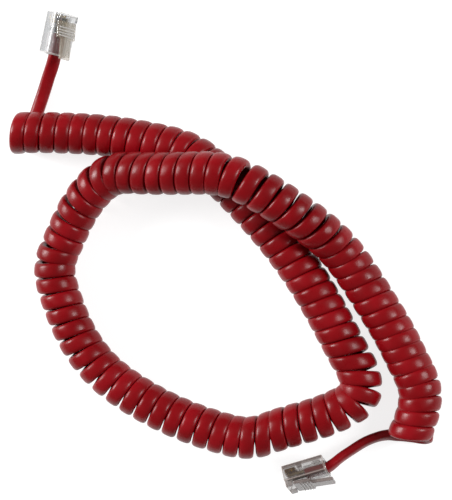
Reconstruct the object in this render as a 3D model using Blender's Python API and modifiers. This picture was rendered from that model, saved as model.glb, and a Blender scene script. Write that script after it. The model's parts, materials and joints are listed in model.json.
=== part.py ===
"""Coiled telephone handset cord with a clear four-contact plug at each end.

Units are metres and +Z is up. The cord lies on the plane z = 0, and the origin is on that plane
under the middle of the cord's box. A plug is built in its own frame: the cable's centre line is
the local Y axis, y = 0 is the rear face, +Y points to the nose, and +Z is the latch side.
"""

import math

import bmesh
import bpy
import numpy as np
from mathutils import Matrix, Vector

MM = 0.001

# Cord
COIL_DIAMETER = 11.7 * MM
CORD_THICKNESS = 2.5 * MM
COIL_STEPS = 78
CORD_SIDES = 2
COIL_SIDES = 3
TAIL_STEP = CORD_THICKNESS

# The coil's axis as it lies on the table, from plug a's end to plug b's end, in millimetres.
# The third number is how far the coil is lifted off the table, where it lies on its own tail
# and where it crosses over itself.
COIL_ROUTE = (
    (-59.2, 33.0, 2.3), (-52.2, 33.0, 1.8), (-43.5, 32.8, 0.6), (-34.5, 32.2, 0.0),
    (-27.5, 31.3, 0.0), (-19.5, 29.8, 0.0), (-13.0, 28.3, 0.0), (-8.0, 26.3, 0.0),
    (-2.5, 22.4, 0.0), (5.5, 14.8, 0.0), (13.0, 6.7, 0.0), (20.2, -2.4, 0.0),
    (27.0, -12.7, 0.0), (32.0, -21.7, 0.0), (36.3, -29.6, 0.0), (38.6, -34.9, 0.0),
    (38.3, -39.2, 0.0), (33.9, -43.0, 0.0), (24.5, -46.9, 0.0), (16.3, -49.5, 0.0),
    (8.2, -52.0, 0.0), (0.0, -50.9, 0.0), (-12.2, -47.0, 0.0), (-24.0, -41.3, 0.0),
    (-34.5, -33.7, 0.0), (-41.3, -24.8, 0.0), (-45.9, -14.3, 0.0), (-47.7, -4.5, 0.2),
    (-45.3, 2.6, 0.6), (-41.6, 10.2, 1.6), (-36.5, 17.2, 3.4), (-29.3, 21.0, 5.6),
    (-21.2, 21.2, 7.9), (-13.6, 21.0, 9.7), (-6.2, 21.0, 11.1), (3.0, 20.4, 11.7),
    (11.2, 17.0, 11.0), (20.8, 10.8, 8.5), (28.0, 5.3, 5.1), (33.6, -0.5, 1.7),
    (38.0, -6.7, 0.2), (43.3, -15.0, 0.0), (48.3, -23.4, 0.0), (51.8, -30.4, 0.0),
    (54.6, -37.3, 0.0), (54.2, -43.6, 0.0), (51.8, -50.4, 0.0),
)

# The tails between the coil's flank and the plug's rear, in millimetres. Inside the plug each
# tail follows the plug's own axis, as far as JACKET_DEPTH.
TAIL_A_ROUTE = ((-54.5, 39.2, 1.35), (-52.3, 45.2, 1.6), (-49.7, 51.4, 3.1))
TAIL_B_ROUTE = ((45.3, -50.9, 1.5), (42.4, -51.6, 1.7), (36.3, -55.1, 2.5), (32.8, -57.5, 3.6))
TAIL_LEAD = 1.5 * MM

# Plug housing
PLUG_WIDTH = 7.65 * MM
PLUG_LENGTH = 11.8 * MM
CONTACT_FACE = -2.6 * MM
LATCH_DECK = 1.9 * MM
NOSE_TOP = 3.4 * MM
NOSE_BLOCK = 2.0 * MM
HOUSING_ROUND = 0.25 * MM

# Ways through the housing
JACKET_DEPTH = 6.0 * MM
JACKET_END_GAP = 0.15 * MM
JACKET_BORE = (4.3 * MM, 2.8 * MM)
CORE_BORE_WIDTH = 4.4 * MM
CORE_BORE_LOW = -0.9 * MM
CORE_BORE_HIGH = 0.4 * MM
CORE_BORE_END = 11.0 * MM

# Contacts and cores
CONTACTS = 4
CONTACT_PITCH = 1.02 * MM
BLADE_THICKNESS = 0.3 * MM
SLOT_WIDTH = 0.6 * MM
SLOT_START = 8.4 * MM
SLOT_TOP = -0.8 * MM
BLADE_START = 8.7 * MM
BLADE_END = 11.5 * MM
BLADE_LOW = -2.3 * MM
BLADE_SHOULDER = -1.2 * MM
TOOTH_TIP = -0.75 * MM
TOOTH_HALF = 0.3 * MM
BLADE_NOSE = 0.4 * MM
CORE_RADIUS = 0.4 * MM
CORE_HEIGHT = -0.2 * MM
CORE_START = 6.3 * MM
CORE_END = 10.7 * MM
CORE_STRAIGHT = 0.4 * MM
CORE_SPREAD = 1.6 * MM
JACKET_PITCH = 0.94 * CONTACT_PITCH

# Clamp bars, pressed in from the contact side
JACKET_CLAMP = dict(width=3.4 * MM, start=1.3 * MM, end=3.4 * MM, low=-2.4 * MM, high=-1.43 * MM)
CORE_CLAMP = dict(width=4.0 * MM, start=6.6 * MM, end=7.6 * MM, low=-2.1 * MM, high=-0.8 * MM)
POCKET_GAP = 0.25 * MM
JACKET_POCKET_ROOF = 0.0
CORE_POCKET_ROOF = -0.5 * MM
BAR_ROUND = 0.15 * MM

# Latch lever, laid out from its hinge towards the cable
LATCH_HINGE_Y = 9.15 * MM
LATCH_HINGE_Z = 2.65 * MM
LATCH_THICKNESS = 1.0 * MM
LATCH_ROOT = 0.5 * MM
LATCH_WIDE = 6.0 * MM
LATCH_WIDE_LENGTH = 4.6 * MM
LATCH_NARROW = 3.25 * MM
LATCH_LENGTH = 10.5 * MM
LATCH_ROUND = 0.28 * MM

# Where each plug lies: the cable's centre at the rear face, the heading of the nose, how far
# the nose dips, how far the latch side rolls over to the right of the heading, and how far its
# lever stands off when nothing presses it.
PLUG_A = dict(x=-48.0 * MM, y=55.1 * MM, heading=77.5, dip=0.0, roll=50.0, free=14.0)
PLUG_B = dict(x=29.5 * MM, y=-59.9 * MM, heading=198.5, dip=1.0, roll=-56.0, free=8.0)

# colour, roughness, metallic
FINISHES = {
    "jacket": ((0.30, 0.010, 0.018), 0.35, 0.0),
    "clear": ((0.80, 0.80, 0.76), 0.10, 0.0),
    "gold": ((0.83, 0.60, 0.22), 0.25, 1.0),
    "black": ((0.02, 0.02, 0.02), 0.45, 0.0),
    "red": ((0.60, 0.03, 0.03), 0.45, 0.0),
    "green": ((0.03, 0.30, 0.08), 0.45, 0.0),
    "yellow": ((0.80, 0.62, 0.06), 0.45, 0.0),
}
CORE_COLOURS = ("black", "red", "green", "yellow")


# Scene helpers

def clear_scene():
    for obj in list(bpy.data.objects):
        bpy.data.objects.remove(obj, do_unlink=True)


def new_collection(name):
    collection = bpy.data.collections.new(name)
    bpy.context.scene.collection.children.link(collection)
    return collection


def finish(obj, kind):
    """Give a part its own Principled material."""
    colour, roughness, metallic = FINISHES[kind]
    material = bpy.data.materials.new(obj.name + "_" + kind)
    material.use_nodes = True
    shader = material.node_tree.nodes["Principled BSDF"]
    shader.inputs["Base Color"].default_value = (*colour, 1.0)
    shader.inputs["Roughness"].default_value = roughness
    shader.inputs["Metallic"].default_value = metallic
    material.diffuse_color = (*colour, 1.0)
    obj.data.materials.append(material)


def add_object(name, data, collection, parent=None):
    obj = bpy.data.objects.new(name, data)
    collection.objects.link(obj)
    obj.parent = parent
    return obj


def mark_cutter(obj):
    obj.hide_render = True
    obj.display_type = "WIRE"


# Shapes

def smooth_route(points, count):
    """Points at even spacing on the natural cubic spline through the given ones."""
    points = np.array(points, float)
    knots = np.concatenate([[0.0], np.cumsum(np.linalg.norm(np.diff(points, axis=0), axis=1))])
    step = np.diff(knots)[:, None]
    slope = np.diff(points, axis=0) / step
    size = len(points)
    matrix = np.eye(size)
    right = np.zeros((size, 3))
    for i in range(1, size - 1):
        matrix[i, i - 1:i + 2] = step[i - 1, 0], 2.0 * (step[i - 1, 0] + step[i, 0]), step[i, 0]
        right[i] = 6.0 * (slope[i] - slope[i - 1])
    bend = np.linalg.solve(matrix, right)
    fine = np.linspace(0.0, knots[-1], 40 * size)
    cell = np.clip(np.searchsorted(knots, fine, side="right") - 1, 0, size - 2)
    after = (fine - knots[cell])[:, None]
    before = step[cell] - after
    curve = (bend[cell] * before**3 + bend[cell + 1] * after**3) / (6.0 * step[cell])
    curve += (points[cell] / step[cell] - bend[cell] * step[cell] / 6.0) * before
    curve += (points[cell + 1] / step[cell] - bend[cell + 1] * step[cell] / 6.0) * after
    run = np.concatenate([[0.0], np.cumsum(np.linalg.norm(np.diff(curve, axis=0), axis=1))])
    even = np.linspace(0.0, run[-1], count)
    return np.stack([np.interp(even, run, curve[:, k]) for k in range(3)], axis=1)


def tube(name, points, radius, sides, collection, parent=None):
    """A closed round tube along the points."""
    curve = bpy.data.curves.new(name, "CURVE")
    curve.dimensions = "3D"
    curve.twist_mode = "Z_UP"
    curve.bevel_depth = radius
    curve.bevel_resolution = sides
    curve.use_fill_caps = True
    spline = curve.splines.new("POLY")
    spline.points.add(len(points) - 1)
    for point, place in zip(spline.points, points):
        point.co = (*place, 1.0)
    spline.use_smooth = True
    return add_object(name, curve, collection, parent)


def block(name, low, high, collection, parent, rounding=0.0):
    """A box between two corners, with its edges rounded where a rounding is given."""
    mesh = bpy.data.meshes.new(name)
    cube = bmesh.new()
    bmesh.ops.create_cube(cube, size=1.0)
    size = Vector(high) - Vector(low)
    bmesh.ops.scale(cube, vec=size, verts=cube.verts)
    bmesh.ops.translate(cube, vec=(Vector(high) + Vector(low)) / 2.0, verts=cube.verts)
    cube.to_mesh(mesh)
    cube.free()
    obj = add_object(name, mesh, collection, parent)
    if rounding:
        round_edges(obj, rounding)
    return obj


def outline(name, points, half_depth, collection, parent, side_on=False):
    """A flat outline given a thickness: in the XY plane, or side on in the YZ plane."""
    curve = bpy.data.curves.new(name, "CURVE")
    curve.dimensions = "2D"
    curve.fill_mode = "BOTH"
    curve.extrude = half_depth
    spline = curve.splines.new("POLY")
    spline.points.add(len(points) - 1)
    for point, (across, up) in zip(spline.points, points):
        point.co = (across, up, 0.0, 1.0)
    spline.use_cyclic_u = True
    drawn = add_object(name + "_outline", curve, collection)
    bpy.context.view_layer.update()
    graph = bpy.context.evaluated_depsgraph_get()
    mesh = bpy.data.meshes.new_from_object(drawn.evaluated_get(graph))
    mesh.name = name
    bpy.data.objects.remove(drawn, do_unlink=True)
    if side_on:
        mesh.transform(Matrix(((0, 0, 1, 0), (1, 0, 0, 0), (0, 1, 0, 0), (0, 0, 0, 1))))
    solid = bmesh.new()
    solid.from_mesh(mesh)
    bmesh.ops.remove_doubles(solid, verts=solid.verts, dist=0.001 * MM)
    bmesh.ops.recalc_face_normals(solid, faces=solid.faces)
    solid.to_mesh(mesh)
    solid.free()
    return add_object(name, mesh, collection, parent)


def round_edges(obj, width, segments=2):
    bevel = obj.modifiers.new("round_edges", "BEVEL")
    bevel.width = width
    bevel.segments = segments
    bevel.limit_method = "ANGLE"


def cut(obj, cutter):
    boolean = obj.modifiers.new("cut_" + cutter.name, "BOOLEAN")
    boolean.operation = "DIFFERENCE"
    boolean.object = cutter
    mark_cutter(cutter)


# Plug

def contact_places():
    middle = (CONTACTS - 1) / 2.0
    return [(i - middle) * CONTACT_PITCH for i in range(CONTACTS)]


def plug_frame(name, lie, collection):
    """The plug's own frame, at the height where its lowest corner touches the table."""
    turn = Matrix.Rotation(math.radians(lie["heading"] - 90.0), 3, "Z")
    turn = turn @ Matrix.Rotation(-math.radians(lie["dip"]), 3, "X")
    turn = turn @ Matrix.Rotation(math.radians(lie["roll"]), 3, "Y")
    half = PLUG_WIDTH / 2.0
    corners = [turn @ Vector((x, y, CONTACT_FACE)) for x in (-half, half) for y in (0.0, PLUG_LENGTH)]
    height = -min(corner.z for corner in corners)
    frame = add_object(name + "_frame", None, collection)
    frame.matrix_world = Matrix.Translation((lie["x"], lie["y"], height)) @ turn.to_4x4()
    return frame


def bar_pocket(name, bar, roof, collection, frame):
    """The pocket that a clamp bar stands in, open to the contact side."""
    half = bar["width"] / 2.0 + POCKET_GAP
    low = (-half, bar["start"] - POCKET_GAP, CONTACT_FACE - MM)
    return block(name, low, (half, bar["end"] + POCKET_GAP, roof), collection, frame)


def make_body(prefix, frame, parts, cutters):
    nose_back = PLUG_LENGTH - NOSE_BLOCK
    side = (
        (0.0, CONTACT_FACE), (PLUG_LENGTH, CONTACT_FACE), (PLUG_LENGTH, NOSE_TOP),
        (nose_back, NOSE_TOP), (nose_back, LATCH_DECK), (0.0, LATCH_DECK),
    )
    body = outline(prefix + "_body", side, PLUG_WIDTH / 2.0, parts, frame, side_on=True)
    for number, edge in enumerate((-1.0, 1.0), start=1):
        inner, outer = sorted((edge * LATCH_WIDE / 2.0, edge * PLUG_WIDTH))
        cut(body, block(f"{prefix}_shoulder_{number}", (inner, nose_back - MM, LATCH_DECK),
                        (outer, PLUG_LENGTH + MM, NOSE_TOP + MM), cutters, frame))
    round_edges(body, HOUSING_ROUND)
    wide, high = JACKET_BORE
    bore = block(prefix + "_jacket_bore", (-wide / 2, -MM, -high / 2),
                 (wide / 2, JACKET_DEPTH + JACKET_END_GAP, high / 2), cutters, frame)
    cut(body, bore)
    half = CORE_BORE_WIDTH / 2.0
    core_bore = block(prefix + "_core_bore", (-half, JACKET_DEPTH - MM, CORE_BORE_LOW),
                      (half, CORE_BORE_END, CORE_BORE_HIGH), cutters, frame)
    cut(body, core_bore)
    for number, place in enumerate(contact_places(), start=1):
        low = (place - SLOT_WIDTH / 2, SLOT_START, CONTACT_FACE - MM)
        high_corner = (place + SLOT_WIDTH / 2, PLUG_LENGTH + MM, SLOT_TOP)
        cut(body, block(f"{prefix}_slot_{number}", low, high_corner, cutters, frame))
    cut(body, bar_pocket(prefix + "_jacket_pocket", JACKET_CLAMP, JACKET_POCKET_ROOF, cutters, frame))
    cut(body, bar_pocket(prefix + "_core_pocket", CORE_CLAMP, CORE_POCKET_ROOF, cutters, frame))
    finish(body, "clear")


def make_latch(prefix, free, frame, parts):
    """The lever, laid flat in its hinge's frame and turned up to its free angle."""
    wide = LATCH_WIDE / 2.0
    narrow = LATCH_NARROW / 2.0
    shape = (
        (-wide, LATCH_ROOT), (-wide, -LATCH_WIDE_LENGTH), (-narrow, -LATCH_WIDE_LENGTH),
        (-narrow, -LATCH_LENGTH), (narrow, -LATCH_LENGTH), (narrow, -LATCH_WIDE_LENGTH),
        (wide, -LATCH_WIDE_LENGTH), (wide, LATCH_ROOT),
    )
    latch = outline(prefix + "_latch", shape, LATCH_THICKNESS / 2.0, parts, frame)
    latch.location = (0.0, LATCH_HINGE_Y, LATCH_HINGE_Z)
    latch.rotation_euler = (-math.radians(free), 0.0, 0.0)
    round_edges(latch, LATCH_ROUND, 3)
    finish(latch, "clear")


def make_contacts(prefix, frame, parts):
    """Gold blades: a rounded foot at the contact face and two teeth towards the core."""
    shape = [(BLADE_START, BLADE_LOW), (BLADE_END - BLADE_NOSE, BLADE_LOW)]
    for angle in np.radians((-60.0, -30.0, 0.0)):
        shape.append((BLADE_END - BLADE_NOSE + BLADE_NOSE * math.cos(angle),
                      BLADE_LOW + BLADE_NOSE + BLADE_NOSE * math.sin(angle)))
    shape.append((BLADE_END, BLADE_SHOULDER))
    for middle in (BLADE_END - 3.0 * TOOTH_HALF, BLADE_START + 2.0 * TOOTH_HALF):
        shape += [(middle + TOOTH_HALF, BLADE_SHOULDER), (middle, TOOTH_TIP),
                  (middle - TOOTH_HALF, BLADE_SHOULDER)]
    shape.append((BLADE_START, BLADE_SHOULDER))
    for number, place in enumerate(contact_places(), start=1):
        blade = outline(f"{prefix}_contact_{number}", shape, BLADE_THICKNESS / 2.0, parts, frame, True)
        blade.location = (place, 0.0, 0.0)
        finish(blade, "gold")


def make_clamps(prefix, frame, parts):
    for name, bar in (("jacket_clamp", JACKET_CLAMP), ("conductor_clamp", CORE_CLAMP)):
        half = bar["width"] / 2.0
        clamp = block(f"{prefix}_{name}", (-half, bar["start"], bar["low"]),
                      (half, bar["end"], bar["high"]), parts, frame, BAR_ROUND)
        finish(clamp, "clear")


def make_cores(prefix, frame, parts):
    """The four insulated cores, spreading from the jacket to one blade each."""
    for colour, place in zip(CORE_COLOURS, contact_places()):
        close = place * JACKET_PITCH / CONTACT_PITCH
        route = ((close, CORE_START, CORE_HEIGHT), (close, CORE_START + CORE_STRAIGHT, CORE_HEIGHT),
                 (place, CORE_START + CORE_SPREAD, CORE_HEIGHT), (place, CORE_END, CORE_HEIGHT))
        core = tube(f"{prefix}_core_{colour}", route, CORE_RADIUS, CORD_SIDES, parts, frame)
        finish(core, colour)


def make_plug(prefix, lie, parts, cutters):
    frame = plug_frame(prefix, lie, parts)
    make_body(prefix, frame, parts, cutters)
    make_latch(prefix, lie["free"], frame, parts)
    make_contacts(prefix, frame, parts)
    make_clamps(prefix, frame, parts)
    make_cores(prefix, frame, parts)
    return frame


# Cord

def make_coil(parts):
    radius = COIL_DIAMETER / 2.0
    axis = [(x * MM, y * MM, lift * MM + radius) for x, y, lift in COIL_ROUTE]
    coil = tube("coiled_cord", smooth_route(axis, COIL_STEPS), radius, COIL_SIDES, parts)
    finish(coil, "jacket")


def make_tail(name, route, frame, parts):
    """A straight end of the cord, from the coil into the plug as far as the jacket goes."""
    points = [tuple(value * MM for value in point) for point in route]
    for y in (-TAIL_LEAD, TAIL_LEAD / 3.0, JACKET_DEPTH):
        points.append(tuple(frame.matrix_world @ Vector((0.0, y, 0.0))))
    length = sum(math.dist(a, b) for a, b in zip(points, points[1:]))
    count = round(length / TAIL_STEP) + 1
    tail = tube(name, smooth_route(points, count), CORD_THICKNESS / 2.0, CORD_SIDES, parts)
    finish(tail, "jacket")


def main():
    clear_scene()
    parts = new_collection("handset_cord_set")
    cutters = new_collection("cutters")
    plug_a = make_plug("plug_a", PLUG_A, parts, cutters)
    plug_b = make_plug("plug_b", PLUG_B, parts, cutters)
    make_coil(parts)
    make_tail("cord_tail_a", TAIL_A_ROUTE, plug_a, parts)
    make_tail("cord_tail_b", TAIL_B_ROUTE, plug_b, parts)


main()
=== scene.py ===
"""Looks of the coiled handset cord: one continuous flat cord wound into a left-handed coil, with a
clear modular plug on each end. Everything is in metres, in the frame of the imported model."""

import json
import math

import bpy
import numpy as np
from mathutils import Matrix, Vector


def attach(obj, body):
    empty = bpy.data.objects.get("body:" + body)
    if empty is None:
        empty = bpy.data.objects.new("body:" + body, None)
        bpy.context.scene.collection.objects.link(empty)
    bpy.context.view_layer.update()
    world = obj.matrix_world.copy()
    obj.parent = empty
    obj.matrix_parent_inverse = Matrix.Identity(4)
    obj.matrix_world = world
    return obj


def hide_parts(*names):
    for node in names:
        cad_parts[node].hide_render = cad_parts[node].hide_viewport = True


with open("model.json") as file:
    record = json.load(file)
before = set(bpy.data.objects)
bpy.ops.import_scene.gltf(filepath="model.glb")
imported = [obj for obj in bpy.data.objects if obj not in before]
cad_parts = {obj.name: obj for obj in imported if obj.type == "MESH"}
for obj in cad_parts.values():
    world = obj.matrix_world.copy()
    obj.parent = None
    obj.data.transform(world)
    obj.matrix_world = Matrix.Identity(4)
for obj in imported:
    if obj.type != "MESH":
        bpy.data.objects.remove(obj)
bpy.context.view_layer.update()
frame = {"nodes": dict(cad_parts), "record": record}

MM = 0.001

# The flat cord and its coil
CORD_WIDTH = 4.15 * MM
TAIL_WIDTH = 3.75 * MM
CORD_THICKNESS = 2.5 * MM
CORD_SQUARENESS = 2.9
COIL_RADIUS = 5.85 * MM
TURN_RADIUS = COIL_RADIUS - CORD_THICKNESS / 2.0
RINGS_PER_TURN = 30
AXIS_POINTS = 6000
POINTS_AROUND = 20

# The coil's axis, from plug a's end to plug b's end: x, y and the lift off the table, in mm.
COIL_ROUTE = (
    (-59.2, 33.0, 2.3), (-52.2, 33.0, 1.8), (-43.5, 32.8, 0.6), (-34.5, 32.2, 0.0),
    (-27.5, 31.3, 0.0), (-19.5, 29.8, 0.0), (-13.0, 28.3, 0.0), (-8.0, 26.3, 0.0),
    (-2.5, 22.4, 0.0), (5.5, 14.8, 0.0), (13.0, 6.7, 0.0), (20.2, -2.4, 0.0),
    (27.0, -12.7, 0.0), (32.0, -21.7, 0.0), (36.3, -29.6, 0.0), (38.6, -34.9, 0.0),
    (38.3, -39.2, 0.0), (33.9, -43.0, 0.0), (24.5, -46.9, 0.0), (16.3, -49.5, 0.0),
    (8.2, -52.0, 0.0), (0.0, -50.9, 0.0), (-12.2, -47.0, 0.0), (-24.0, -41.3, 0.0),
    (-34.5, -33.7, 0.0), (-41.3, -24.8, 0.0), (-45.9, -14.3, 0.0), (-47.7, -4.5, 0.2),
    (-45.0, 2.6, 0.6), (-41.1, 10.0, 1.6), (-35.8, 16.6, 3.4), (-29.3, 20.8, 5.6),
    (-21.2, 21.2, 7.9), (-13.6, 21.0, 9.7), (-6.2, 21.0, 11.1), (3.0, 20.4, 11.7),
    (11.2, 17.0, 11.0), (20.8, 10.8, 8.5), (28.0, 5.3, 5.1), (33.6, -0.5, 1.7),
    (38.0, -6.7, 0.2), (43.3, -15.0, 0.0), (48.3, -23.4, 0.0), (51.8, -30.4, 0.0),
    (54.6, -37.3, 0.0), (54.2, -43.6, 0.0), (51.8, -50.4, 0.0),
)

# How the turns stand along the coil: the turn's number, where its top crosses the axis (mm from
# the coil's start) and its lean (how far its left side is ahead of its right side, as a slope).
# The turns lie close together, except where the coil bends sharply or was pulled open.
TURN_PLAN = (
    (0.75, 1.5, 0.05), (2.0, 6.3, 0.0), (3.0, 10.5, -0.03), (6.0, 23.1, -0.06),
    (10.0, 40.4, -0.03), (13.0, 53.0, 0.0), (19.0, 78.5, -0.05), (25.0, 103.7, 0.0),
    (27.0, 111.8, 0.0), (29.0, 120.2, 0.08), (30.0, 124.7, 0.2), (31.0, 129.3, 0.12),
    (32.0, 133.5, -0.19), (33.0, 137.5, -0.3), (34.0, 141.7, -0.12), (36.0, 150.4, -0.04),
    (38.0, 159.1, 0.02), (39.0, 163.2, 0.22), (40.0, 167.7, 0.02), (41.0, 171.8, -0.08),
    (45.0, 189.1, -0.12), (49.0, 206.4, -0.11), (53.0, 224.2, -0.05), (57.0, 242.0, -0.06),
    (58.0, 246.4, -0.27), (59.0, 250.6, -0.3), (60.0, 255.1, -0.14), (61.0, 259.5, -0.12),
    (63.0, 268.9, -0.05), (64.0, 273.5, -0.03), (65.0, 278.0, 0.03), (66.0, 282.3, 0.07),
    (67.0, 286.6, 0.06), (70.0, 299.5, 0.0), (72.0, 307.6, 0.0), (73.0, 311.5, -0.03),
    (74.0, 315.7, -0.07), (75.0, 320.9, -0.1), (76.0, 325.6, -0.08), (78.0, 334.4, -0.01),
    (80.0, 343.5, 0.03), (84.0, 361.0, 0.02), (88.0, 377.2, 0.02), (90.0, 384.5, 0.0),
    (91.0, 388.2, 0.03), (92.0, 391.9, -0.11), (93.0, 395.4, -0.2), (94.0, 399.1, -0.35),
    (96.25, 408.1, -0.47),
)

# Tails, from the plug's rear to the coil: x, y, z in mm, then the way the flat cord's broad side
# faces there.
TAIL_A = (
    (-49.2, 52.2, 3.4, 0.6, -0.1, 0.75), (-50.6, 49.3, 2.4, 0.4, -0.1, 0.9),
    (-52.2, 45.2, 1.7, 0.2, 0.0, 1.0), (-53.7, 41.3, 1.4, 0.05, 0.0, 1.0),
    (-54.6, 38.9, 1.3, 0.0, 0.0, 1.0), (-55.9, 35.6, 1.3, 0.0, 0.0, 1.0),
    (-57.3, 32.0, 1.5, 0.0, 0.0, 1.0), (-58.4, 29.2, 3.2, -0.1, 0.7, 0.6),
)
TAIL_B = (
    (32.8, -57.5, 3.6, 0.3, -0.85, 0.45), (36.3, -55.1, 2.6, 0.4, -0.85, 0.4),
    (39.2, -53.2, 2.2, 0.4, -0.85, 0.4), (42.4, -51.7, 2.0, 0.3, -0.9, 0.4),
    (45.4, -50.9, 1.9, 0.1, -0.85, 0.5), (49.0, -50.7, 1.6, 0.0, -0.5, 0.85),
    (53.2, -50.9, 1.5, 0.0, 0.0, 1.0), (56.6, -50.8, 3.2, -0.7, 0.0, 0.7),
)
JACKET_DEPTH = 6.0 * MM
TAIL_STEP = 0.7 * MM
JOIN_RINGS = 12
ROUND_END = 0.12

# Plugs
PLUG_LENGTH = 11.8 * MM
PLUG_WIDTH = 7.65 * MM
NOSE_POINT = 1.2 * MM
HOUSING_TOP = 1.9 * MM
HOUSING_BOTTOM = -2.6 * MM
CABLE_HALF_WIDTH = 2.1 * MM
CABLE_HALF_HEIGHT = 1.45 * MM
EDGE_BAND = 0.28 * MM
STEP_EDGE = 0.12 * MM
LATCH_HINGE = (9.15 * MM, 2.65 * MM)
LATCH_HALF_THICKNESS = 0.5 * MM
RIB_PLACES = (-1.5 * MM, -2.3 * MM, -3.1 * MM, -3.9 * MM)
RIB_HALF_LENGTH = 2.6 * MM
RIB_SIZE = (0.42 * MM, 0.45 * MM)
RIB_RINGS = 13
RIB_SQUARENESS = 2.4
RIB_POINTS_AROUND = 12
LIP_HALF = (2.5 * MM, 1.72 * MM)
LIP_THICKNESS = 0.5 * MM
LIP_SQUARENESS = 3.2
LIP_RINGS = 48
LIP_POINTS_AROUND = 10


def view_from(place, target):
    """The turn of a camera or lamp at place that looks at target with +Y up in its picture."""
    ahead = (Vector(target) - Vector(place)).normalized()
    right = ahead.cross(Vector((0.0, 1.0, 0.0))).normalized()
    up = right.cross(ahead)
    turn = Matrix((right, up, -ahead)).transposed()
    return Matrix.Translation(place) @ turn.to_4x4()


CAMERA_PLACE = (0.0613, 0.010, 0.350)
CAMERA_TARGET = (0.0013, 0.0, 0.005)
CAMERA_LENS = 100.4
SENSOR_WIDTH = 36.0


def make_camera():
    data = bpy.data.cameras.new("camera")
    data.sensor_fit = "HORIZONTAL"
    data.sensor_width = SENSOR_WIDTH
    data.lens = CAMERA_LENS
    camera = bpy.data.objects.new("camera", data)
    bpy.context.scene.collection.objects.link(camera)
    camera.matrix_world = view_from(CAMERA_PLACE, CAMERA_TARGET)
    bpy.context.scene.camera = camera


make_camera()


# The plugs' own frames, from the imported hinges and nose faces

def plug_frame(prefix):
    """Rows are the plug's across, forward and latch-side directions, then its origin, which is
    the cable's centre at the rear face."""
    record = frame["record"]
    hinge = next(j for j in record["behaviour"]["joints"] if j["name"] == prefix + "_latch_hinge")
    nose = next(m for m in record["mounts"] if m["name"] == prefix + "_nose")
    across = np.array(hinge["axis"], float)
    forward = np.array(nose["axis"], float)
    across /= np.linalg.norm(across)
    forward /= np.linalg.norm(forward)
    latch_side = np.cross(across, forward)
    origin = np.array(nose["pos_m"], float) - PLUG_LENGTH * forward - NOSE_POINT * latch_side
    return np.array([across, forward, latch_side, origin])


PLUGS = {prefix: plug_frame(prefix) for prefix in ("plug_a", "plug_b")}


def placed(prefix, points):
    """Points given across, forward and up in a plug's frame, in the model's frame."""
    plug = PLUGS[prefix]
    return np.asarray(points, float) @ plug[:3] + plug[3]


# Curves and meshes

def spline(points, knots, places):
    """Natural cubic spline through points (rows) at knots, read at places."""
    points = np.asarray(points, float)
    knots = np.asarray(knots, float)
    step = np.diff(knots)[:, None]
    slope = np.diff(points, axis=0) / step
    size = len(points)
    matrix = np.eye(size)
    right = np.zeros_like(points)
    for i in range(1, size - 1):
        matrix[i, i - 1:i + 2] = step[i - 1, 0], 2.0 * (step[i - 1, 0] + step[i, 0]), step[i, 0]
        right[i] = 6.0 * (slope[i] - slope[i - 1])
    bend = np.linalg.solve(matrix, right)
    cell = np.clip(np.searchsorted(knots, places, side="right") - 1, 0, size - 2)
    after = (places - knots[cell])[:, None]
    before = step[cell] - after
    curve = (bend[cell] * before**3 + bend[cell + 1] * after**3) / (6.0 * step[cell])
    curve += (points[cell] / step[cell] - bend[cell] * step[cell] / 6.0) * before
    curve += (points[cell + 1] / step[cell] - bend[cell + 1] * step[cell] / 6.0) * after
    return curve


def run_of(points):
    """Distance along a line of points, from its start."""
    return np.concatenate([[0.0], np.cumsum(np.linalg.norm(np.diff(points, axis=0), axis=1))])


def unit(vectors):
    return vectors / np.linalg.norm(vectors, axis=-1, keepdims=True)


def columns(table, places):
    """Each column of a table after its first, read at places of the first, eased between rows."""
    table = np.asarray(table, float)
    cell = np.clip(np.searchsorted(table[:, 0], places, side="right") - 1, 0, len(table) - 2)
    part = np.clip((places - table[cell, 0]) / (table[cell + 1, 0] - table[cell, 0]), 0.0, 1.0)
    part = part * part * (3.0 - 2.0 * part)
    return [table[cell, k] * (1.0 - part) + table[cell + 1, k] * part
            for k in range(1, table.shape[1])]


def coil_line():
    """Centre line of the coiled stretch, and the outward direction at each of its points.

    The axis is the spline through COIL_ROUTE at height lift + COIL_RADIUS. With a = 2 pi n, for
    turn number n, a point lies at axis + r (sin a * side + cos a * up + lean * sin a * ahead),
    where side is to the left of the way along the axis: that winds a left-handed coil."""
    points = np.array(COIL_ROUTE) * MM
    points[:, 2] += COIL_RADIUS
    knots = run_of(points)
    fine = np.linspace(0.0, knots[-1], AXIS_POINTS)
    axis = spline(points, knots, fine)
    run = run_of(axis)
    ahead = unit(np.gradient(axis, run, axis=0))
    side = unit(np.cross((0.0, 0.0, 1.0), ahead))
    up = np.cross(ahead, side)
    plan = np.array(TURN_PLAN)
    count = int(round((plan[-1, 0] - plan[0, 0]) * RINGS_PER_TURN)) + 1
    number = np.linspace(plan[0, 0], plan[-1, 0], count)
    place = spline(plan[:, 1:2], plan[:, 0], number)[:, 0] * MM
    lean = columns(plan[:, (0, 2)], number)[0][:, None]

    def at(values):
        return np.stack([np.interp(place, run, values[:, k]) for k in range(3)], axis=1)

    angle = 2.0 * np.pi * number[:, None]
    outward = np.sin(angle) * at(side) + np.cos(angle) * at(up)
    line = at(axis) + TURN_RADIUS * (outward + lean * np.sin(angle) * at(ahead))
    return line, unit(outward)


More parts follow.
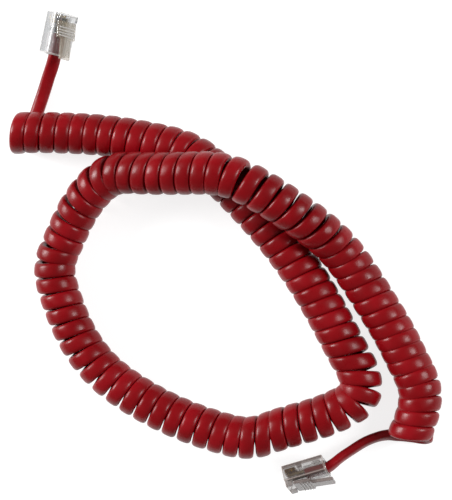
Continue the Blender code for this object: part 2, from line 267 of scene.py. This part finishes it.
def tail_line(prefix, route, coil, coil_outward, end):
    """Centre line of a tail from inside its plug to the coil, and its thin direction.

    A spline through the tail's own points that starts along the plug's axis and ends on the
    coil's first points (end = 1) or last points (end = -1). The thin direction is eased between
    the ones given at the points, from the plug's own to the coil's inward one."""
    route = np.array(route)
    inside = placed(prefix, [(0.0, y, 0.0) for y in (JACKET_DEPTH, 0.5 * JACKET_DEPTH, 0.0)])
    joining = coil[::end][:9:4]
    points = np.concatenate([inside, route[:, :3] * MM, joining])
    knots = run_of(points)
    reach = knots[-len(joining)]
    places = np.arange(0.0, reach, TAIL_STEP)
    line = spline(points, knots, places)
    faces = np.concatenate([np.repeat(PLUGS[prefix][2:3], len(inside), axis=0), route[:, 3:],
                            -coil_outward[::end][:1]])
    thin = columns(np.column_stack([knots[:len(faces)], faces]), places)
    return line, -unit(np.stack(thin, axis=1))


def cord_line():
    coil, outward = coil_line()
    line_a, thin_a = tail_line("plug_a", TAIL_A, coil, outward, 1)
    line_b, thin_b = tail_line("plug_b", TAIL_B, coil, outward, -1)
    line = np.concatenate([line_a, coil, line_b[::-1]])
    thin = np.concatenate([thin_a, outward, thin_b[::-1]])
    width = np.interp(np.arange(len(line)), (len(line_a) - JOIN_RINGS, len(line_a) + JOIN_RINGS,
                      len(line) - len(line_b) - JOIN_RINGS, len(line) - len(line_b) + JOIN_RINGS),
                      (TAIL_WIDTH, CORD_WIDTH, CORD_WIDTH, TAIL_WIDTH))
    return line, thin, width


def swept(name, line, thin, width, thickness, squareness, around):
    """A closed solid whose section is carried along a line.

    The section is the curve |2 w / width|^q + |2 t / thickness|^q = 1, with w across the line and
    t along its thin direction; its ends are closed by rings that shrink to a point."""
    ahead = unit(np.gradient(line, axis=0))
    across = unit(np.cross(ahead, thin))
    thin = np.cross(across, ahead)
    turn = np.linspace(0.0, 2.0 * np.pi, around, endpoint=False)
    power = 2.0 / squareness
    w = width[:, None] / 2.0 * np.sign(np.cos(turn)) * np.abs(np.cos(turn)) ** power
    t = thickness / 2.0 * np.sign(np.sin(turn)) * np.abs(np.sin(turn)) ** power
    w = np.concatenate([w[:1]] * 2 + [w] + [w[-1:]] * 2)
    size = np.ones(len(line))
    line = np.concatenate([line[:1]] * 2 + [line] + [line[-1:]] * 2)
    across = np.concatenate([across[:1]] * 2 + [across] + [across[-1:]] * 2)
    thin = np.concatenate([thin[:1]] * 2 + [thin] + [thin[-1:]] * 2)
    size = np.concatenate([[0.0, 1.0 - ROUND_END], size, [1.0 - ROUND_END, 0.0]])
    grid = line[:, None] + size[:, None, None] * (
        across[:, None] * w[:, :, None] + thin[:, None] * t[None, :, None])
    return grid_mesh(name, grid)


def grid_mesh(name, grid):
    """A closed tube of quads from a grid of rings, the first and last of which are points."""
    rings, around = grid.shape[:2]
    body = grid[1:-1].reshape(-1, 3)
    places = np.concatenate([body, grid[:1, 0], grid[-1:, 0]])
    first, last = len(places) - 2, len(places) - 1
    ring = np.arange(rings - 3)[:, None] * around
    i = np.arange(around)[None]
    j = (i + 1) % around
    quads = np.stack([ring + i, ring + around + i, ring + around + j, ring + j], axis=-1)
    quads = quads.reshape(-1, 4)
    i, j = i[0], j[0]
    end = (rings - 3) * around
    start_fan = np.stack([np.full(around, first), i, j], axis=1)
    end_fan = np.stack([np.full(around, last), end + j, end + i], axis=1)
    mesh = bpy.data.meshes.new(name)
    mesh.from_pydata(places.tolist(), [], quads.tolist() + start_fan.tolist() + end_fan.tolist())
    mesh.update()
    mesh.shade_smooth()
    obj = bpy.data.objects.new(name, mesh)
    bpy.context.scene.collection.objects.link(obj)
    return obj


# Materials

JACKET_DARK = (0.153, 0.0010, 0.0028)
JACKET_RED = (0.180, 0.0015, 0.0036)
JACKET_LIGHT = (0.212, 0.0026, 0.0058)
# Painted highlight: the light colour laid along each plug's edges, ribs and lip, plug a's then plug b's.
EDGE_HIGHLIGHT_A = (0.80, 0.79, 0.77)
EDGE_HIGHLIGHT_B = (0.42, 0.35, 0.32)
# Painted shade: the darker colour of the ribs' and lip's clear plastic where it is seen edge-on, plug a's
# then plug b's.
EDGE_ON_SHADE_A = (0.35, 0.33, 0.31)
EDGE_ON_SHADE_B = (0.15, 0.12, 0.11)
EDGE_COVER = 0.8
EDGE_ROUGHNESS = 0.12


def new_material(name, colour, roughness, **sockets):
    material = bpy.data.materials.new(name)
    material.use_nodes = True
    shader = material.node_tree.nodes["Principled BSDF"]
    shader.inputs["Base Color"].default_value = (*colour, 1.0)
    shader.inputs["Roughness"].default_value = roughness
    for socket, value in sockets.items():
        shader.inputs[socket.replace("_", " ")].default_value = value
    return material


def grain(material, scale, detail, low, high):
    """Noise on the object's own coordinates, eased to run from low to high: its value socket."""
    tree = material.node_tree
    place = tree.nodes.new("ShaderNodeTexCoord")
    noise = tree.nodes.new("ShaderNodeTexNoise")
    noise.inputs["Scale"].default_value = scale
    noise.inputs["Detail"].default_value = detail
    span = tree.nodes.new("ShaderNodeMapRange")
    span.interpolation_type = "SMOOTHSTEP"
    span.inputs["From Min"].default_value = 0.3
    span.inputs["From Max"].default_value = 0.7
    span.inputs["To Min"].default_value = low
    span.inputs["To Max"].default_value = high
    tree.links.new(place.outputs["Object"], noise.inputs["Vector"])
    tree.links.new(noise.outputs["Fac"], span.inputs["Value"])
    return span.outputs["Result"]


def tint(material, steps, fraction):
    """Colour that runs through steps, each a place from 0 to 1 and a colour, as fraction grows."""
    tree = material.node_tree
    ramp = tree.nodes.new("ShaderNodeValToRGB")
    ends = ramp.color_ramp.elements
    for number, (place, colour) in enumerate(steps):
        stop = ends[number] if number < 2 else ends.new(place)
        stop.position = place
        stop.color = (*colour, 1.0)
    tree.links.new(fraction, ramp.inputs["Fac"])
    tree.links.new(ramp.outputs["Color"], shader_of(material).inputs["Base Color"])


def shader_of(material):
    return material.node_tree.nodes["Principled BSDF"]


def rough(material, socket):
    material.node_tree.links.new(socket, shader_of(material).inputs["Roughness"])


def dimple(material, height, strength, distance):
    """Bump of a height socket on the whole surface."""
    tree = material.node_tree
    bump = tree.nodes.new("ShaderNodeBump")
    bump.inputs["Strength"].default_value = strength
    bump.inputs["Distance"].default_value = distance
    tree.links.new(height, bump.inputs["Height"])
    tree.links.new(bump.outputs["Normal"], shader_of(material).inputs["Normal"])


def jacket_material():
    """Soft vinyl: a deep red that clouds slightly, with a satin skin marked by fine drag and
    handling, so that its highlights break up a little."""
    material = new_material("cord_jacket", JACKET_RED, 0.32, Specular_IOR_Level=0.19)
    tint(material, ((0.0, JACKET_DARK), (0.55, JACKET_RED), (1.0, JACKET_LIGHT)),
         grain(material, 90.0, 3.0, 0.0, 1.0))
    rough(material, grain(material, 420.0, 4.0, 0.26, 0.38))
    dimple(material, grain(material, 900.0, 5.0, 0.0, 1.0), 0.25, 0.00006)
    return material


def make_cord():
    line, thin, width = cord_line()
    cord = swept("handset_cord", line, thin, width, CORD_THICKNESS, CORD_SQUARENESS, POINTS_AROUND)
    cord.data.materials.append(jacket_material())
    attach(cord, "root")
    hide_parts("coiled_cord", "cord_tail_a", "cord_tail_b")


make_cord()


# Plugs

def clear_material(name, face, rim, cover, roughness=0.08):
    """Clear moulded plastic whose colour is painted lighter where it is seen face on and darker where it
    is seen edge-on, a painted shade, with a faint haze of flow lines in its gloss. cover is how much of
    what lies behind it hides."""
    material = new_material(name, face, roughness, Transmission_Weight=0.5, IOR=1.4, Alpha=cover,
                            Coat_Weight=1.0, Coat_Roughness=0.12)
    slant = material.node_tree.nodes.new("ShaderNodeLayerWeight")
    slant.inputs["Blend"].default_value = 0.35
    tint(material, ((0.0, face), (1.0, rim)), slant.outputs["Facing"])
    rough(material, grain(material, 500.0, 3.0, 0.5 * roughness, 1.5 * roughness))
    dimple(material, grain(material, 350.0, 2.0, 0.0, 1.0), 0.35, 0.0001)
    return material


def beyond(material, direction, middle, half):
    """1 where the surface lies more than half from the middle plane across a direction, else 0,
    with a soft step."""
    tree = material.node_tree
    place = tree.nodes.new("ShaderNodeTexCoord")
    along = tree.nodes.new("ShaderNodeVectorMath")
    along.operation = "DOT_PRODUCT"
    along.inputs[1].default_value = direction
    tree.links.new(place.outputs["Object"], along.inputs[0])
    away = tree.nodes.new("ShaderNodeMath")
    away.operation = "SUBTRACT"
    away.inputs[1].default_value = middle
    tree.links.new(along.outputs["Value"], away.inputs[0])
    size = tree.nodes.new("ShaderNodeMath")
    size.operation = "ABSOLUTE"
    tree.links.new(away.outputs[0], size.inputs[0])
    step = tree.nodes.new("ShaderNodeMapRange")
    step.interpolation_type = "SMOOTHSTEP"
    step.inputs["From Min"].default_value = half - STEP_EDGE
    step.inputs["From Max"].default_value = half + STEP_EDGE
    tree.links.new(size.outputs[0], step.inputs["Value"])
    return step.outputs["Result"]


def pick(material, operation, *values):
    """The least (MINIMUM) or the greatest (MAXIMUM) of some value sockets."""
    tree = material.node_tree
    result = values[0]
    for value in values[1:]:
        node = tree.nodes.new("ShaderNodeMath")
        node.operation = operation
        tree.links.new(result, node.inputs[0])
        tree.links.new(value, node.inputs[1])
        result = node.outputs[0]
    return result


def housing_material(name, prefix, face, rim, light, window, cover):
    """Clear plastic of a plug's housing. It hides less over the cable and the contacts, where the
    moulding is thin (window). Along the housing's outline it carries a painted highlight: a light colour
    and more cover where two of the distances from the housing's middle planes come near their largest."""
    material = clear_material(name, face, rim, cover)
    tree = material.node_tree
    across, forward, latch_side, origin = PLUGS[prefix]
    middle_y = float(origin @ forward) + PLUG_LENGTH / 2.0
    deck_middle = float(origin @ latch_side) + (HOUSING_TOP + HOUSING_BOTTOM) / 2.0
    deck_half = (HOUSING_TOP - HOUSING_BOTTOM) / 2.0
    walls = pick(material, "MINIMUM",
                 beyond(material, across, float(origin @ across), CABLE_HALF_WIDTH),
                 beyond(material, latch_side, float(origin @ latch_side), CABLE_HALF_HEIGHT))
    near = [beyond(material, across, float(origin @ across), PLUG_WIDTH / 2.0 - EDGE_BAND),
            beyond(material, forward, middle_y, PLUG_LENGTH / 2.0 - EDGE_BAND),
            beyond(material, latch_side, deck_middle, deck_half - EDGE_BAND)]
    highlight_mask = pick(material, "MAXIMUM", *(
        pick(material, "MINIMUM", near[i], near[j]) for i, j in ((0, 1), (0, 2), (1, 2))))
    span = tree.nodes.new("ShaderNodeMapRange")
    span.inputs["To Min"].default_value = window
    span.inputs["To Max"].default_value = cover
    tree.links.new(walls, span.inputs["Value"])
    alpha = pick(material, "MAXIMUM", span.outputs["Result"], highlight_mask)
    tree.links.new(alpha, shader_of(material).inputs["Alpha"])
    plain = shader_of(material).inputs["Base Color"].links[0].from_socket
    mix = tree.nodes.new("ShaderNodeMix")
    mix.data_type = "RGBA"
    colours = [socket for socket in mix.inputs if socket.type == "RGBA"]
    colours[1].default_value = (*light, 1.0)
    tree.links.new(highlight_mask, mix.inputs["Factor"])
    tree.links.new(plain, colours[0])
    result = next(socket for socket in mix.outputs if socket.type == "RGBA")
    tree.links.new(result, shader_of(material).inputs["Base Color"])
    return material


def plain_material(name, colour, roughness, **sockets):
    """A smooth part with slight clouding in its colour and its gloss."""
    material = new_material(name, colour, roughness, **sockets)
    dark = tuple(0.75 * value for value in colour)
    tint(material, ((0.0, dark), (1.0, colour)), grain(material, 700.0, 3.0, 0.0, 1.0))
    rough(material, grain(material, 1500.0, 3.0, 0.8 * roughness, 1.3 * roughness))
    return material


def dress_plugs():
    # The housings and levers are all of one clear plastic. Their tints differ as painted light and shade:
    # plug b's housing and lever are darker and warmer than plug a's, and plug a's lever is beige against
    # its grey housing.
    clear = {
        "plug_a_body": housing_material("clear_housing_a", "plug_a", (0.30, 0.31, 0.32),
                                        (0.09, 0.09, 0.10), EDGE_HIGHLIGHT_A, 0.30, 0.62),
        "plug_a_lever": clear_material("clear_lever_a", (0.46, 0.40, 0.31), (0.16, 0.13, 0.09), 0.45),
        "plug_b_body": housing_material("clear_housing_b", "plug_b", (0.15, 0.12, 0.11),
                                        (0.05, 0.04, 0.03), EDGE_HIGHLIGHT_B, 0.36, 0.90),
        "plug_b_lever": clear_material("clear_lever_b", (0.21, 0.16, 0.145), (0.06, 0.045, 0.04), 0.85),
    }
    gold = plain_material("gold_contact", (0.60, 0.42, 0.16), 0.3, Metallic=1.0)
    cores = {
        "black": plain_material("core_black", (0.02, 0.02, 0.02), 0.4),
        "red": plain_material("core_red", (0.20, 0.06, 0.05), 0.4),
        "green": plain_material("core_green", (0.07, 0.11, 0.07), 0.4),
        "yellow": plain_material("core_yellow", (0.26, 0.21, 0.11), 0.4),
    }
    for name, node in frame["nodes"].items():
        if name in ("coiled_cord", "cord_tail_a", "cord_tail_b"):
            continue
        if "contact" in name:
            material = gold
        elif "core_" in name:
            material = cores[name.rsplit("_", 1)[1]]
        else:
            material = clear[name[:6] + ("_lever" if "latch" in name else "_body")]
        for slot in node.material_slots:
            slot.material = material


dress_plugs()


def on_lever(prefix, points):
    """Points given across, along and above the lever, from its hinge, in the model's frame."""
    hinge = next(j for j in frame["record"]["behaviour"]["joints"]
                 if j["name"] == prefix + "_latch_hinge")
    free = math.radians(hinge["range_deg"][1])
    x, y, z = np.asarray(points, float).T
    forward = y * math.cos(free) + z * math.sin(free)
    up = z * math.cos(free) - y * math.sin(free)
    return placed(prefix, np.stack([x, forward + LATCH_HINGE[0], up + LATCH_HINGE[1]], axis=1))


def make_ribs(prefix, material):
    """Finger ribs across the latch's root: short bars with a rounded section."""
    for number, place in enumerate(RIB_PLACES, start=1):
        across = np.linspace(-RIB_HALF_LENGTH, RIB_HALF_LENGTH, RIB_RINGS)
        points = np.stack([across, np.full(RIB_RINGS, place),
                           np.full(RIB_RINGS, LATCH_HALF_THICKNESS)], axis=1)
        line = on_lever(prefix, points)
        above = on_lever(prefix, points + (0.0, 0.0, MM))
        rib = swept(f"{prefix}_latch_rib_{number}", line, unit(above - line),
                    np.full(RIB_RINGS, RIB_SIZE[0]), RIB_SIZE[1], RIB_SQUARENESS,
                    RIB_POINTS_AROUND)
        rib.data.materials.append(material)
        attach(rib, prefix + "_lever")


def make_lip(prefix, material):
    """The lip round the cable's way in: a thin round bead along an oval, whose point at angle a is
    half width * cos a across and half height * sin a up, each raised to a power that squares it."""
    turn = np.linspace(0.0, 2.0 * np.pi, LIP_RINGS, endpoint=False)[:, None]
    small = np.linspace(0.0, 2.0 * np.pi, LIP_POINTS_AROUND, endpoint=False)[None]
    power = 2.0 / LIP_SQUARENESS
    wide, high = (half * np.sign(f(turn)) * np.abs(f(turn)) ** power
                  for half, f in zip(LIP_HALF, (np.cos, np.sin)))
    bead = 0.5 * LIP_THICKNESS
    x = wide + bead * np.cos(small) * np.cos(turn)
    z = high + bead * np.cos(small) * np.sin(turn)
    y = np.broadcast_to(bead * np.sin(small), x.shape)
    grid = placed(prefix, np.stack([x, y, z], axis=-1).reshape(-1, 3)).reshape(*x.shape, 3)
    lip = wrapped_mesh(prefix + "_entry_lip", grid)
    lip.data.materials.append(material)
    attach(lip, "root")


def wrapped_mesh(name, grid):
    """A closed ring of quads from a grid that joins up with itself both ways."""
    rings, around = grid.shape[:2]
    i = np.arange(rings)[:, None]
    j = np.arange(around)[None]
    corner = [(i + di) % rings * around + (j + dj) % around
              for di, dj in ((0, 0), (0, 1), (1, 1), (1, 0))]
    quads = np.stack(corner, axis=-1).reshape(-1, 4)
    mesh = bpy.data.meshes.new(name)
    mesh.from_pydata(grid.reshape(-1, 3).tolist(), [], quads.tolist())
    mesh.update()
    mesh.shade_smooth()
    obj = bpy.data.objects.new(name, mesh)
    bpy.context.scene.collection.objects.link(obj)
    return obj


# The ribs and the lip are of a light clear plastic, a painted highlight, which turns darker where it is
# seen edge-on as painted shade.
for plug, light, dark in (("plug_a", EDGE_HIGHLIGHT_A, EDGE_ON_SHADE_A), ("plug_b", EDGE_HIGHLIGHT_B, EDGE_ON_SHADE_B)):
    highlight_plastic = clear_material("clear_edges_" + plug[-1], light, dark, EDGE_COVER, EDGE_ROUGHNESS)
    make_ribs(plug, highlight_plastic)
    make_lip(plug, highlight_plastic)


# Floor and light

FLOOR_REACH = 3.0
FLOOR_GLOW = 0.82
ROOM_GLOW = 0.22
SOFTBOX_SIDE = 0.36


def make_floor():
    mesh = bpy.data.meshes.new("floor")
    reach = FLOOR_REACH
    mesh.from_pydata([(-reach, -reach, 0.0), (reach, -reach, 0.0), (reach, reach, 0.0),
                      (-reach, reach, 0.0)], [], [(0, 1, 2, 3)])
    floor = bpy.data.objects.new("floor", mesh)
    bpy.context.scene.collection.objects.link(floor)
    mesh.materials.append(new_material("floor_white", (0.30, 0.30, 0.30), 0.9, Specular_IOR_Level=0.1,
                                       Emission_Color=(1.0, 1.0, 1.0, 1.0), Emission_Strength=FLOOR_GLOW))


def make_light(name, place, power):
    data = bpy.data.lights.new(name, "AREA")
    data.shape = "RECTANGLE"
    data.size = data.size_y = SOFTBOX_SIDE
    data.energy = power
    lamp = bpy.data.objects.new(name, data)
    bpy.context.scene.collection.objects.link(lamp)
    lamp.matrix_world = view_from(place, (0.0, 0.0, 0.0))


def make_world():
    world = bpy.data.worlds.new("room")
    world.use_nodes = True
    world.node_tree.nodes["Background"].inputs["Color"].default_value = (1.0, 1.0, 1.0, 1.0)
    world.node_tree.nodes["Background"].inputs["Strength"].default_value = ROOM_GLOW
    bpy.context.scene.world = world


make_floor()
make_world()
make_light("left_softbox", (-0.75, 0.25, 0.45), 12.0)
make_light("right_softbox", (0.75, 0.15, 0.55), 8.0)
bpy.context.scene.view_settings.view_transform = "Standard"
